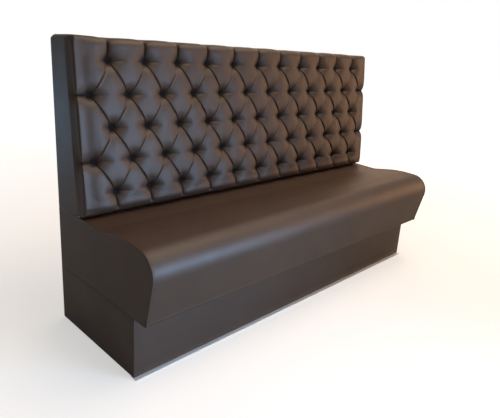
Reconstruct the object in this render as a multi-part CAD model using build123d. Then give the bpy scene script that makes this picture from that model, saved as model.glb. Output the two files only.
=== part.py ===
from build123d import *
from math import atan2, ceil, cos, degrees, hypot, radians, sin, tan
import os

os.makedirs("parts", exist_ok=True)

# Upholstered bench seat in three stacked units: a plinth, a waterfall seat and a deep-buttoned back.
# Millimetres. X runs along the bench, -Y is the front, Z is up, and the floor is Z = 0.
# A setback is measured forwards from the flat rear of the bench.

# Overall sizes
length = 1800.0
depth = 624.0
height = 1107.0
plinth_height = 230.0
toe_recess = 105.0
shelf_height = 476.0

# Stock thicknesses
skin = 1.5
board = 18.0
panel = 12.0
dust_cloth = 1.0
joint_line = 1.0

# Plinth and its kick strip
strip_gap = 1.0
strip_thickness = 3.0
strip_projection = 16.0
strip_cover = 18.0
strip_screw_radius = 2.0
strip_head_radius = 4.0
strip_head_height = 1.8
strip_screw_length = 24.0
strip_screws = 7
strip_screw_inset = 60.0
ribs = 3

# Levelling feet
foot_block_side = 60.0
foot_block_bottom = 25.0
foot_block_height = 60.0
foot_travel = 15.0
thread_radius = 5.0
running_clearance = 0.05
face_clearance = 0.3
pad_radius = 20.0
pad_edge = 6.0
pad_hub_radius = 9.0
pad_height = 14.4
pad_floor = 4.0
hex_height = 8.0
hex_flats = 17.0
stud_spare = 19.0
nut_flange_radius = 12.0
nut_flange = 2.0
nut_barrel_radius = 7.0
nut_barrel = 11.0

# Seat
seat_shelf_depth = 150.0
seat_rear_drop = 2.0
valley_drop = 10.0
valley_roundness = 1.0
crown_behind_nose = 174.0
crown_roundness = 4.0
nose_radius = 79.0
nose_drop = 72.0
nose_fall = 4.0
front_undercut = 38.735
hem_radius = 3.0
hem_behind_nose = 94.0
deck_drop = 76.0
front_panel_behind_nose = 54.0
nose_rail_width = 58.0

# Joining plates between the plinth and the seat, and the coach screws that hold the back down
plate_width = 30.0
plate_height = 80.0
plate_thickness = 3.0
plate_setback = 300.0
plate_screw_radius = 2.0
plate_screw_length = 14.0
plate_head_radius = 4.0
plate_head = 2.0
plate_hole_inset = 12.0
bolt_radius = 4.0
bolt_head_radius = 7.0
bolt_head = 5.5
bolt_length = 32.0
bolt_setback = 70.0
bolts = 4

# Back and its deep-buttoned pad
rake = 5.136
reference_setback = 144.3
reference_rise = 79.0
pad_clearance = 6.0
pad_top_wrap = 12.0
pad_proud = 4.0
pad_corner_radius = 32.0
pad_lower_radius = 38.0
pad_end_radius = 18.0
wrap_corner_radius = 11.0
wrap_end_radius = 10.0
stile_ratio = 1.75
foam_thickness = 25.0
foam_reach = 45.0
foam_side_reach = 33.0
tuft_end_margin = 60.7
tuft_top_margin = 85.88
tuft_rows = 5
tuft_columns = 12
crest = 61.0
fold_depth = 22.0
border_drop = 2.5
pit_floor_reach = 9.4
pit_spread = 17.0
pleat_depth = 5.0
pleat_width = 12.0
button_radius = 9.0
button_sides = 6
button_height = 6.0
twine_side = 1.6
twine_slot = 4.0
board_hole_side = 4.5
toggle_length = 22.0
toggle_width = 6.0
toggle_height = 3.0

# Sides of the prisms that stand for small hidden fasteners
fastener_sides = 6

# Length added to cutting tools so that they run out of the stock
overrun = 5.0

# Places worked out from the sizes above
rear = depth / 2
plinth_depth = depth - toe_recess
crown_setback = depth - crown_behind_nose
hem_setback = depth - hem_behind_nose
front_panel_setback = depth - front_panel_behind_nose
seat_rear_height = shelf_height - seat_rear_drop
valley_height = shelf_height - valley_drop
nose_height = shelf_height - nose_drop
deck_top = shelf_height - deck_drop
front_slope = degrees(atan2(front_undercut, nose_height - plinth_height))
valley_setback = (seat_shelf_depth + crown_setback) / 2
valley_radius = (crown_setback - valley_setback) * valley_roundness
crown_radius = (crown_setback - valley_setback) * crown_roundness
reference_height = shelf_height + reference_rise
pad_bottom = shelf_height + pad_clearance
tuft_pitch = (length - 2 * tuft_end_margin) / (tuft_columns - 1)
top_row_rise = height - tuft_top_margin - reference_height
tuft_rise = top_row_rise / cos(radians(rake)) / (tuft_rows - 1)
half_length = length / 2
core_end = half_length - skin
inner_end = core_end - board
bay = (-inner_end, inner_end)
rib_pitch = 2 * inner_end / (ribs + 1)
bolt_pitch = 2 * inner_end / bolts
boards_bottom = strip_gap + strip_thickness
front_board_face = plinth_depth - skin
rib_places = [(i - (ribs - 1) / 2) * rib_pitch for i in range(ribs)]
back_top = height - pad_top_wrap
stile_places = [-tuft_pitch * stile_ratio, tuft_pitch * stile_ratio]
field_half = (tuft_columns - 1) / 2 * tuft_pitch
field_rise = (tuft_rows - 1) * tuft_rise


def slab(x_span, setbacks, z_span):
    # a box between two places along X, two setbacks and two heights
    near, far = min(setbacks), max(setbacks)
    size = Box(
        x_span[1] - x_span[0],
        far - near,
        z_span[1] - z_span[0],
        align=(Align.MIN, Align.MIN, Align.MIN),
    )
    return Pos(x_span[0], rear - far, z_span[0]) * size


def post(radius, x, setback, z_span):
    # an upright cylinder
    rod = Cylinder(radius, z_span[1] - z_span[0], align=(Align.CENTER, Align.CENTER, Align.MIN))
    return Pos(x, rear - setback, z_span[0]) * rod


def stem(radius, x, setback, z_span):
    # an upright prism with six sides, for small hidden fasteners and their holes
    prism = extrude(RegularPolygon(radius, fastener_sides), z_span[1] - z_span[0])
    return Pos(x, rear - setback, z_span[0]) * prism


def cross_stem(radius, x_span, setback, z):
    # the same prism laid along X
    prism = extrude(RegularPolygon(radius, fastener_sides), x_span[1] - x_span[0])
    return Pos(x_span[0], rear - setback, z) * Rot(Y=90) * prism


def side_prism(outline, x_span):
    # an outline drawn in setbacks and heights, drawn out along X
    face = Plane.YZ.offset(x_span[0]) * make_face(outline)
    return extrude(face, amount=x_span[1] - x_span[0], dir=(1, 0, 0))


def spot(setback, z):
    # a point of a side outline
    return (rear - setback, z)


def polygon(points):
    # a closed side outline of straight runs
    return Polyline(*[spot(*p) for p in points], close=True).edges()


def both_ends(low, high):
    # the same span at the left end and at the right end
    return {"left": (-high, -low), "right": (low, high)}


def write(name, shape):
    # one file for each node
    pieces = shape if isinstance(shape, list) else [shape]
    solids = [s for piece in pieces for s in piece.solids()]
    out = solids[0] if len(solids) == 1 else Compound(children=solids)
    out.label = name
    export_step(out, f"parts/{name}.step")


# Levelling feet, one in a block at each corner
foot_x = inner_end - foot_block_side / 2
foot_front = front_board_face - board - foot_block_side / 2
foot_rear = board + foot_block_side / 2
foot_names = {
    "front_left": (-foot_x, foot_front),
    "front_right": (foot_x, foot_front),
    "rear_left": (-foot_x, foot_rear),
    "rear_right": (foot_x, foot_rear),
}
nut_top = foot_block_bottom + nut_barrel
hex_top = foot_block_bottom - nut_flange - face_clearance
hex_bottom = hex_top - hex_height
stud_radius = thread_radius - running_clearance
stud_top = nut_top + foot_travel + stud_spare


def make_foot_pad(x, setback):
    # a six-sided foot that narrows to a hub, with a blind socket that the stud turns in
    rim = stem(pad_radius, x, setback, (0, pad_edge))
    hub = stem(pad_hub_radius, x, setback, (pad_edge, pad_height))
    socket = post(thread_radius, x, setback, (pad_floor, pad_height + overrun))
    return rim + hub - socket


def make_foot_stud(x, setback):
    # a plain journal below, a hexagon to turn it by, and the threaded length above
    journal = post(stud_radius, x, setback, (pad_floor + face_clearance, hex_bottom))
    nut = extrude(RegularPolygon(hex_flats / 2, fastener_sides, major_radius=False), hex_height)
    head = Pos(x, rear - setback, hex_bottom) * nut
    shank = post(stud_radius, x, setback, (hex_top, stud_top))
    return journal + head + shank


def make_foot_block(x, setback):
    # softwood block that the tee nut is driven into from below
    half = foot_block_side / 2
    top = foot_block_bottom + foot_block_height
    block = slab((x - half, x + half), (setback - half, setback + half), (foot_block_bottom, top))
    bore = stem(nut_barrel_radius, x, setback, (foot_block_bottom - overrun, top + overrun))
    return block - bore


def make_tee_nut(x, setback):
    # flanged nut, its thread drawn as a plain bore
    flange = stem(nut_flange_radius, x, setback, (foot_block_bottom - nut_flange, foot_block_bottom))
    barrel = stem(nut_barrel_radius, x, setback, (foot_block_bottom, nut_top))
    bore = post(thread_radius, x, setback, (foot_block_bottom - overrun, nut_top + overrun))
    return flange + barrel - bore


for foot_name, place in foot_names.items():
    write(f"foot_pad_{foot_name}", make_foot_pad(*place))
    write(f"foot_stud_{foot_name}", make_foot_stud(*place))
write("foot_blocks", [make_foot_block(*place) for place in foot_names.values()])
write("tee_nuts", [make_tee_nut(*place) for place in foot_names.values()])


# Joining plates, screwed to the boards of the plinth and of the seat on the same faces
plate_span = (plinth_height - plate_height / 2, plinth_height + plate_height / 2)
plate_faces = {
    "left": (-inner_end, 1),
    "right": (inner_end, -1),
    **{f"rib_{i + 1}": (x + board / 2, 1) for i, x in enumerate(rib_places)},
}


def plate_holes():
    # a screw into the plinth's board below the joint and one into the seat's board above it
    return [(plate_setback, z) for z in (plate_span[0] + plate_hole_inset, plate_span[1] - plate_hole_inset)]


def reach_span(face, side, low, high):
    # from a board's face, a span that starts low and ends high on its open side
    return tuple(sorted((face + side * low, face + side * high)))


def plate_screw_tools(face, side):
    # the cuts that the screws need in a board and in its plate
    span = reach_span(face, side, plate_thickness + plate_head - plate_screw_length, plate_thickness)
    return [cross_stem(plate_screw_radius, span, d, z) for d, z in plate_holes()]


def make_plate(face, side):
    half = plate_width / 2
    span = reach_span(face, side, 0, plate_thickness)
    plate = slab(span, (plate_setback - half, plate_setback + half), plate_span)
    return plate - plate_screw_tools(face, side)


def make_plate_screws(face, side):
    screws = []
    for d, z in plate_holes():
        tip = plate_thickness + plate_head - plate_screw_length
        shank = cross_stem(plate_screw_radius, reach_span(face, side, tip, plate_thickness), d, z)
        cap = reach_span(face, side, plate_thickness, plate_thickness + plate_head)
        screws.append(shank + cross_stem(plate_head_radius, cap, d, z))
    return screws


write("joining_plates", [make_plate(*place) for place in plate_faces.values()])
write("joining_plate_screws", [s for place in plate_faces.values() for s in make_plate_screws(*place)])


# Plinth boards
strip_screw_setback = front_board_face - board / 2
strip_screw_reach = half_length - strip_screw_inset
strip_screw_pitch = 2 * strip_screw_reach / (strip_screws - 1)
strip_screw_places = [i * strip_screw_pitch - strip_screw_reach for i in range(strip_screws)]
strip_screw_top = strip_gap + strip_screw_length


def strip_screw_tools():
    return [
        stem(strip_screw_radius, x, strip_screw_setback, (strip_gap, strip_screw_top))
        for x in strip_screw_places
    ]


for side_name, span in both_ends(inner_end, core_end).items():
    side_board = slab(span, (0, front_board_face), (boards_bottom, plinth_height))
    write(f"plinth_side_{side_name}", side_board - plate_screw_tools(*plate_faces[side_name]))

front_span = (front_board_face - board, front_board_face)
front_board = slab((-inner_end, inner_end), front_span, (boards_bottom, plinth_height))
write("plinth_front_board", front_board - strip_screw_tools())
write("plinth_rear_board", slab((-inner_end, inner_end), (0, board), (boards_bottom, plinth_height)))

for i, x in enumerate(rib_places):
    rib_span = (x - board / 2, x + board / 2)
    rib = slab(rib_span, (board, front_board_face - board), (boards_bottom, plinth_height))
    write(f"plinth_rib_{i + 1}", rib - plate_screw_tools(*plate_faces[f"rib_{i + 1}"]))

# Plinth covers and kick strip
cover_span = (boards_bottom, plinth_height - joint_line / 2)
front_cover = slab((-core_end, core_end), (front_board_face, plinth_depth), cover_span)
write("plinth_cover_front", front_cover)
for side_name, span in both_ends(core_end, half_length).items():
    write(f"plinth_cover_{side_name}", slab(span, (0, plinth_depth), cover_span))


def strip_head(x):
    # a pan head let into the strip, flush with its underside
    return stem(strip_head_radius, x, strip_screw_setback, (strip_gap, strip_gap + strip_head_height))


def make_kick_strip():
    # flat bar screwed up into the front board through a row of sunk holes
    span = (plinth_depth - strip_cover, plinth_depth + strip_projection)
    bar = slab((-half_length, half_length), span, (strip_gap, boards_bottom))
    return bar - [strip_head(x) for x in strip_screw_places] - strip_screw_tools()


def make_strip_screw(x):
    shank = stem(
        strip_screw_radius, x, strip_screw_setback, (strip_gap + strip_head_height, strip_screw_top)
    )
    return strip_head(x) + shank


write("kick_strip", make_kick_strip())
write("kick_strip_screws", [make_strip_screw(x) for x in strip_screw_places])


# Seat outline, from the shelf forwards over the crown and the nose and back under the hem
def seat_corners():
    # where the straight runs of the covered outline would meet, before they are rounded
    top_normal = 90 + nose_fall
    front_normal = 180 + front_slope
    turn = radians(front_normal - top_normal)
    bisector = radians((top_normal + front_normal) / 2)
    reach = nose_radius / cos(turn / 2)
    nose = (depth - nose_radius - reach * cos(bisector), nose_height + reach * sin(bisector))
    hem_height = plinth_height - skin
    hem = (nose[0] - (nose[1] - hem_height) * tan(radians(front_slope)), hem_height)
    crown = (crown_setback, nose[1] + (nose[0] - crown_setback) * tan(radians(nose_fall)))
    return [
        (seat_shelf_depth, seat_rear_height),
        (valley_setback, valley_height),
        crown,
        nose,
        hem,
        (hem_setback, hem_height),
    ]


def slide_to(setback, point, along):
    # the point of a run that lies at a setback
    t = (setback - point[0]) / along[0]
    return (setback, point[1] + along[1] * t)


def inset_path(corners, inset):
    # each run moves inwards by the inset, and neighbours meet again
    runs = []
    for (a, b), (c, d) in zip(corners, corners[1:]):
        run = hypot(c - a, d - b)
        along = ((c - a) / run, (d - b) / run)
        inward = (along[1], -along[0])
        runs.append(((a + inward[0] * inset, b + inward[1] * inset), along))
    moved = [slide_to(corners[0][0], *runs[0])]
    for (p, u), (q, v) in zip(runs, runs[1:]):
        cross = u[0] * v[1] - u[1] * v[0]
        t = ((q[0] - p[0]) * v[1] - (q[1] - p[1]) * v[0]) / cross
        moved.append((p[0] + u[0] * t, p[1] + u[1] * t))
    moved.append(slide_to(corners[-1][0], *runs[-1]))
    return moved


def seat_line(corners, inset):
    # the rounded outline at an inset from the outside of the cover
    radii = [valley_radius + inset, crown_radius - inset, nose_radius - inset, hem_radius - inset]
    return FilletPolyline(*[spot(*p) for p in corners], radius=radii).edges()


outer_corners = seat_corners()
core_corners = inset_path(outer_corners, skin)


def closed_by(corners, inset, tail):
    # the rounded outline joined into a loop through the points of its tail
    loop = [corners[-1], *tail, corners[0]]
    return list(seat_line(corners, inset)) + list(Polyline(*[spot(*p) for p in loop]).edges())


def seat_end_outline(corners, inset, bottom, top):
    tail = [(0, bottom), (0, top), (seat_shelf_depth, top)]
    return closed_by(corners, inset, tail)


for side_name, span in both_ends(inner_end, core_end).items():
    end = side_prism(seat_end_outline(core_corners, skin, plinth_height, shelf_height), span)
    write(f"seat_end_{side_name}", end - plate_screw_tools(*plate_faces[side_name]))

facing_bottom = plinth_height + joint_line / 2
facing_top = shelf_height - joint_line / 2
for side_name, span in both_ends(core_end, half_length).items():
    whole = side_prism(seat_end_outline(outer_corners, 0, plinth_height - skin, facing_top), span)
    below = slab(span, (-overrun, depth + overrun), (plinth_height - skin - overrun, facing_bottom))
    write(f"seat_end_cover_{side_name}", whole - below)


def make_seat_cover():
    # one sheet from the shelf to under the hem
    loop = [outer_corners[-1], core_corners[-1]]
    back_edge = [core_corners[0], outer_corners[0]]
    outline = list(seat_line(outer_corners, 0)) + list(seat_line(core_corners, skin))
    outline += [Line(*[spot(*p) for p in loop]), Line(*[spot(*p) for p in back_edge])]
    return side_prism(outline, (-core_end, core_end))


def make_seat_foams():
    # foam on the deck and foam round the nose, to the inside of the cover, butted at the front panel
    corners = core_corners[:-1] + [(front_panel_setback, plinth_height)]
    tail = [(front_panel_setback, deck_top), (seat_shelf_depth, deck_top)]
    whole = side_prism(closed_by(corners, skin, tail), bay)
    ahead = slab(bay, (front_panel_setback, depth), (plinth_height - overrun, height))
    return whole - ahead, whole & ahead


write("seat_cover", make_seat_cover())
top_foam, nose_foam = make_seat_foams()
write("seat_foam", top_foam)
write("seat_nose_foam", nose_foam)

# Seat frame
deck_bottom = deck_top - panel
panel_rear = front_panel_setback - panel
shelf_bottom = shelf_height - board
riser_rear = seat_shelf_depth - board
nose_rail_rear = panel_rear - nose_rail_width

for i, x in enumerate(rib_places):
    points = [
        (board, plinth_height),
        (nose_rail_rear, plinth_height),
        (nose_rail_rear, plinth_height + board),
        (panel_rear, plinth_height + board),
        (panel_rear, deck_bottom),
        (riser_rear, deck_bottom),
        (riser_rear, shelf_bottom),
        (board, shelf_bottom),
    ]
    rib = side_prism(polygon(points), (x - board / 2, x + board / 2))
    write(f"seat_rib_{i + 1}", rib - plate_screw_tools(*plate_faces[f"rib_{i + 1}"]))

write("seat_rear_rail", slab(bay, (0, board), (plinth_height, shelf_bottom)))
write("seat_riser", slab(bay, (riser_rear, seat_shelf_depth), (deck_bottom, shelf_bottom)))
write("seat_nose_rail", slab(bay, (nose_rail_rear, panel_rear), (plinth_height, plinth_height + board)))
write("seat_front_panel", slab(bay, (panel_rear, front_panel_setback), (plinth_height, deck_top)))
write("seat_deck", slab(bay, (seat_shelf_depth, panel_rear), (deck_bottom, deck_top)))

# Coach screws that hold the back's bottom rail to the seat's shelf
bolt_places = [(i - (bolts - 1) / 2) * bolt_pitch for i in range(bolts)]
bolt_span = (shelf_height + board - bolt_length, shelf_height + board)


def bolt_tools():
    return [stem(bolt_radius, x, bolt_setback, bolt_span) for x in bolt_places]


def make_bolt(x):
    head = stem(bolt_head_radius, x, bolt_setback, (bolt_span[1], bolt_span[1] + bolt_head))
    return stem(bolt_radius, x, bolt_setback, bolt_span) + head


write("back_coach_screws", [make_bolt(x) for x in bolt_places])
write("seat_shelf", slab(bay, (0, seat_shelf_depth), (shelf_bottom, shelf_height)) - bolt_tools())


# Back frame, with its front edges on the slope of the back board
def face_setback(z, behind=0):
    # setback of the board's front face at a height, or of a face that lies behind it
    return reference_setback - (z - reference_height) * tan(radians(rake)) - behind / cos(radians(rake))


def sloped_outline(z_span, rear_setback, behind=0):
    # four corners between a setback and the slope of the board
    low, high = z_span
    return polygon(
        [
            (rear_setback, low),
            (face_setback(low, behind), low),
            (face_setback(high, behind), high),
            (rear_setback, high),
        ]
    )


bottom_rail_top = shelf_height + board
top_rail_bottom = back_top - board
for side_name, span in both_ends(inner_end, core_end).items():
    outline = sloped_outline((shelf_height, back_top), dust_cloth, panel)
    write(f"back_side_{side_name}", side_prism(outline, span))
for i, x in enumerate(stile_places):
    outline = sloped_outline((bottom_rail_top, top_rail_bottom), dust_cloth, panel)
    write(f"back_stile_{i + 1}", side_prism(outline, (x - board / 2, x + board / 2)))
bottom_rail = side_prism(sloped_outline((shelf_height, bottom_rail_top), dust_cloth, panel), bay)
write("back_bottom_rail", bottom_rail - bolt_tools())
write("back_top_rail", side_prism(sloped_outline((top_rail_bottom, back_top), dust_cloth, panel), bay))

# Back covers: a flat one at each end and a dust cloth behind
for side_name, span in both_ends(core_end, half_length).items():
    outline = sloped_outline((shelf_height + joint_line / 2, back_top), 0)
    write(f"back_side_cover_{side_name}", side_prism(outline, span))
write("back_dust_cloth", slab((-core_end, core_end), (0, dust_cloth), (shelf_height, back_top)))


# Deep-buttoned pad, drawn flat with X along the bench, Y up the board and Z out of it
board_plane = Plane(
    origin=(0, rear - reference_setback, reference_height),
    x_dir=(1, 0, 0),
    z_dir=(0, -cos(radians(rake)), sin(radians(rake))),
)
diagonal = atan2(tuft_rise, tuft_pitch / 2)
fold_pitch = tuft_pitch * sin(diagonal)
border_crest = crest - border_drop


def tuft_places():
    # rows of tufts from the bottom up, each second row with one more tuft and half a pitch aside
    places = []
    for row in range(tuft_rows):
        shift = (tuft_columns - 2 + row % 2) / 2
        for i in range(tuft_columns - 1 + row % 2):
            places.append(((i - shift) * tuft_pitch, row * tuft_rise))
    return places


def flat_box(x_span, y_span, z_span):
    size = Box(
        x_span[1] - x_span[0],
        y_span[1] - y_span[0],
        z_span[1] - z_span[0],
        align=(Align.MIN, Align.MIN, Align.MIN),
    )
    return Pos(x_span[0], y_span[0], z_span[0]) * size


def ridge_outline(first, count, pitch, top):
    # round ridges side by side, with folds between them, closed down to the board
    fold = top - fold_depth
    edges = []
    for n in range(count):
        low, high = first + n * pitch, first + (n + 1) * pitch
        edges.append(ThreePointArc((low, fold), ((low + high) / 2, top), (high, fold)))
    last = first + count * pitch
    edges.append(Polyline((last, fold), (last, 0), (first, 0), (first, fold)))
    return [e for line in edges for e in line.edges()]


def ridge_block(plane, first, count, pitch, top, reach):
    # ridges that run both ways from the plane of their outline
    face = plane * make_face(ridge_outline(first, count, pitch, top))
    return extrude(face, amount=reach, both=True)


def make_tufted_form():
    # diamonds between the tufts, upright pleats above and below, level pleats at the ends
    reach = height
    field_box = flat_box((-field_half, field_half), (0, field_rise), (0, crest + overrun))
    across = Plane(
        origin=(0, 0, 0),
        x_dir=(sin(diagonal), -cos(diagonal), 0),
        z_dir=(-cos(diagonal), -sin(diagonal), 0),
    )
    field_reach = field_half + field_rise
    count = ceil(field_reach / fold_pitch)
    ridges = ridge_block(across, -count * fold_pitch, 2 * count, fold_pitch, crest, field_reach)
    form = field_box & ridges & ridges.mirror(Plane.YZ)

    side = Plane(origin=(0, 0, 0), x_dir=(1, 0, 0), z_dir=(0, -1, 0))
    narrow_reach = tuft_columns / 2 * tuft_pitch
    upright = ridge_block(side, -narrow_reach, tuft_columns, tuft_pitch, border_crest, reach)
    above = flat_box((-field_half, field_half), (field_rise, field_rise + reach), (0, crest + overrun))
    below = flat_box((-field_half, field_half), (-reach, 0), (0, crest + overrun))

    upwards = Plane(origin=(0, 0, 0), x_dir=(0, 1, 0), z_dir=(1, 0, 0))
    rows = tuft_rows // 2 + 1
    level = ridge_block(upwards, -tuft_rise, rows, 2 * tuft_rise, border_crest, length)
    pieces = [form, upright & above, upright & below]
    for span in ((-half_length - reach, -field_half), (field_half, half_length + reach)):
        pieces.append(level & flat_box(span, (0, field_rise), (0, crest + overrun)))
        pieces.append(flat_box(span, (field_rise, field_rise + reach), (0, border_crest)))
        pieces.append(flat_box(span, (-reach, 0), (0, border_crest)))
    return pieces[0].fuse(*pieces[1:])


def make_pad_envelope():
    # the outside of the pad with its edges rolled over, and the strip that wraps the top
    thick = (crest + pad_proud) / cos(radians(rake))
    low_front = face_setback(pad_bottom) + thick
    high_front = face_setback(height) + thick
    points = [
        (face_setback(pad_bottom), pad_bottom),
        (low_front, pad_bottom),
        (high_front, height),
        (face_setback(height), height),
    ]
    radii = [pad_lower_radius, pad_corner_radius]
    outline = list(FilletPolyline(*[spot(*p) for p in points], radius=radii).edges())
    outline.append(Line(spot(*points[-1]), spot(*points[0])))
    roll = side_prism(outline, (-half_length, half_length))
    plan = Plane(
        origin=(0, rear - face_setback(0), 0),
        x_dir=(1, 0, 0),
        z_dir=(0, sin(radians(rake)), cos(radians(rake))),
    )
    front = crest + pad_proud
    corners = [
        (-half_length, overrun),
        (-half_length, -front),
        (half_length, -front),
        (half_length, overrun),
    ]
    ends = list(FilletPolyline(*corners, radius=[pad_end_radius, pad_end_radius]).edges())
    ends.append(Line(corners[-1], corners[0]))
    return roll & extrude(plan * make_face(ends), amount=height + depth)


def make_wrap():
    # the flat strip over the top rail, rolled over at the rear
    points = [
        (face_setback(back_top), back_top),
        (0, back_top),
        (0, height),
        (face_setback(height), height),
    ]
    outline = list(FilletPolyline(*[spot(*p) for p in points], radius=[0, wrap_corner_radius]).edges())
    outline.append(Line(spot(*points[-1]), spot(*points[0])))
    strip = side_prism(outline, (-half_length, half_length))
    rims = [
        edge
        for edge in strip.edges()
        if abs(abs(edge.center().X) - half_length) < skin
        and abs(edge.center().Z - height) < skin
    ]
    return fillet(rims, wrap_end_radius)


def make_pleat_cuts():
    # shallow notches where the pleats run over the top and round the ends
    cuts = []
    notch = Polyline(
        (-pleat_width / 2, pleat_depth), (0, 0), (pleat_width / 2, pleat_depth), close=True
    )
    top_row = [x for x, y in tuft_places() if y == field_rise]
    for x in top_row:
        face = Plane(origin=(x, rear, height - pleat_depth), x_dir=(1, 0, 0), z_dir=(0, -1, 0)) * (
            make_face(notch)
        )
        cuts.append(extrude(face, amount=depth))
    return cuts


def at_tufts(piece):
    # the same small piece at each tuft, then laid back onto the board
    return [board_plane * (Pos(x, y, 0) * piece) for x, y in tuft_places()]


def lifted(shape, z):
    return Pos(0, 0, z) * shape


def upright_part(kind, *sizes):
    return kind(*sizes, align=(Align.CENTER, Align.CENTER, Align.MIN))


foam_block = flat_box(
    (-field_half - foam_side_reach, field_half + foam_side_reach),
    (-foam_reach, field_rise + foam_reach),
    (0, foam_thickness),
)


def make_pit():
    # four flat walls that face the four puffs round a tuft, wider at the mouth than at the floor
    depth_to_floor = crest + overrun - foam_thickness
    spread = depth_to_floor * tan(radians(pit_spread))
    floor_x, floor_y = pit_floor_reach, pit_floor_reach * tan(diagonal)
    mouth_x, mouth_y = floor_x + spread, floor_y + spread
    wedge = Wedge(
        2 * mouth_x,
        depth_to_floor,
        2 * mouth_y,
        spread,
        spread,
        spread + 2 * floor_x,
        spread + 2 * floor_y,
        align=(Align.CENTER, Align.MIN, Align.CENTER),
    )
    return Pos(0, 0, crest + overrun) * Rot(X=-90) * wedge


pit = make_pit()
button = lifted(extrude(RegularPolygon(button_radius, button_sides), button_height), foam_thickness)
toggle_span = (-panel - toggle_height, -panel)
toggle = lifted(upright_part(Box, toggle_width, toggle_length, toggle_height), toggle_span[0])
twine = lifted(upright_part(Box, twine_side, twine_side, panel + foam_thickness), -panel)
slot = upright_part(Box, twine_slot, twine_slot, foam_thickness)
board_hole = lifted(upright_part(Box, board_hole_side, board_hole_side, panel), -panel)


def make_back_cover():
    form = board_plane * make_tufted_form()
    pad = make_pad_envelope() & form
    pad = pad - [board_plane * foam_block, *at_tufts(pit)]
    whole = pad + make_wrap()
    return whole - make_pleat_cuts()


back_board_outline = polygon(
    [
        (face_setback(pad_bottom, panel), pad_bottom),
        (face_setback(pad_bottom), pad_bottom),
        (face_setback(back_top), back_top),
        (face_setback(back_top, panel), back_top),
    ]
)
write("back_board", side_prism(back_board_outline, (-core_end, core_end)) - at_tufts(board_hole))
write("back_foam", (board_plane * foam_block) - at_tufts(slot))
write("back_cover", make_back_cover())
write("tuft_buttons", at_tufts(button))
write("tuft_twines", at_tufts(twine))
write("tuft_toggles", at_tufts(toggle))
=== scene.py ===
import math
import random

import bpy
import bmesh
import numpy as np
from mathutils import Matrix, Vector
from mathutils.geometry import tessellate_polygon


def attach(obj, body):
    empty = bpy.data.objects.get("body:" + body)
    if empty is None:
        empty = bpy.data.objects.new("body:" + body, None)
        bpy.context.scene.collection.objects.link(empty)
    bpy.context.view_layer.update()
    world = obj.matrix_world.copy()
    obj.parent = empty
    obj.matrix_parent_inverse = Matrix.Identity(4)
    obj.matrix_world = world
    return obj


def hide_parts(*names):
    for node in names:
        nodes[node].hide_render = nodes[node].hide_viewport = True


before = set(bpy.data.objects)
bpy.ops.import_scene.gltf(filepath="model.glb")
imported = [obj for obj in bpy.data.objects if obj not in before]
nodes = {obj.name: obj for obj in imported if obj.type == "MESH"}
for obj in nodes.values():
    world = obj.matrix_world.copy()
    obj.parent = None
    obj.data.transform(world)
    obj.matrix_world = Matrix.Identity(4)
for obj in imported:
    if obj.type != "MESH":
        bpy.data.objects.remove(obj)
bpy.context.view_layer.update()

scene = bpy.context.scene
mm = 0.001
print("frame loaded:", len(nodes), "nodes")

# overall sizes of the bench in millimetres; a setback is measured forwards from its flat rear
bench = {
    "length": 1800.0,
    "depth": 624.0,
    "height": 1107.0,
    "plinthHeight": 230.0,
    "plinthDepth": 519.0,
    "shelfHeight": 476.0,
    "skin": 1.5,
}
halfLength = bench["length"] / 2
rearY = bench["depth"] / 2


# shared helpers

def smooth(t):
    t = np.clip(t, 0.0, 1.0)
    return t * t * (3 - 2 * t)


def place(x, setback, z):
    # millimetres on the bench to metres in the shared frame
    return (x * mm, (rearY - setback) * mm, z * mm)


def meshPiece(name, points, faces, material, tidyNormals=True, flatFaces=()):
    mesh = bpy.data.meshes.new(name)
    mesh.from_pydata([tuple(p) for p in points], [], faces)
    if tidyNormals:
        work = bmesh.new()
        work.from_mesh(mesh)
        bmesh.ops.recalc_face_normals(work, faces=work.faces)
        work.to_mesh(mesh)
        work.free()
    # large end faces stay flat, so that they don't shade their neighbours
    mesh.polygons.foreach_set("use_smooth", [len(p.vertices) < 5 for p in mesh.polygons])
    for k in flatFaces:
        mesh.polygons[k].use_smooth = False
    mesh.materials.append(material)
    piece = bpy.data.objects.new(name, mesh)
    scene.collection.objects.link(piece)
    return piece


def filled(corners, points):
    # triangles that fill a flat outline across the bench
    outline = [Vector((points[k][1], points[k][2], 0)) for k in corners]
    return [tuple(corners[i] for i in triangle) for triangle in tessellate_polygon([outline])]


def paint(piece, name, values):
    # a value for each point of the mesh, read by the leather as painted shade
    layer = piece.data.attributes.new(name, "FLOAT", "POINT")
    layer.data.foreach_set("value", np.clip(values, 0, 1).astype(np.float32))


def ringFaces(start, rings, count):
    # faces between neighbouring closed rings of points
    faces = []
    for ring in range(rings - 1):
        for k in range(count):
            a, b = start + ring * count + k, start + ring * count + (k + 1) % count
            faces.append((a, b, b + count, a + count))
    return faces


def tubeFaces(start, rings, count):
    # the same, closed at both ends
    last = start + (rings - 1) * count
    return ringFaces(start, rings, count) + [list(range(start, start + count)), list(range(last, last + count))]


def gridFaces(columns, rows):
    # faces of an open sheet whose points run column by column
    starts = [c * rows + r for c in range(columns - 1) for r in range(rows - 1)]
    return [(a, a + 1, a + rows + 1, a + rows) for a in starts]


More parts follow.
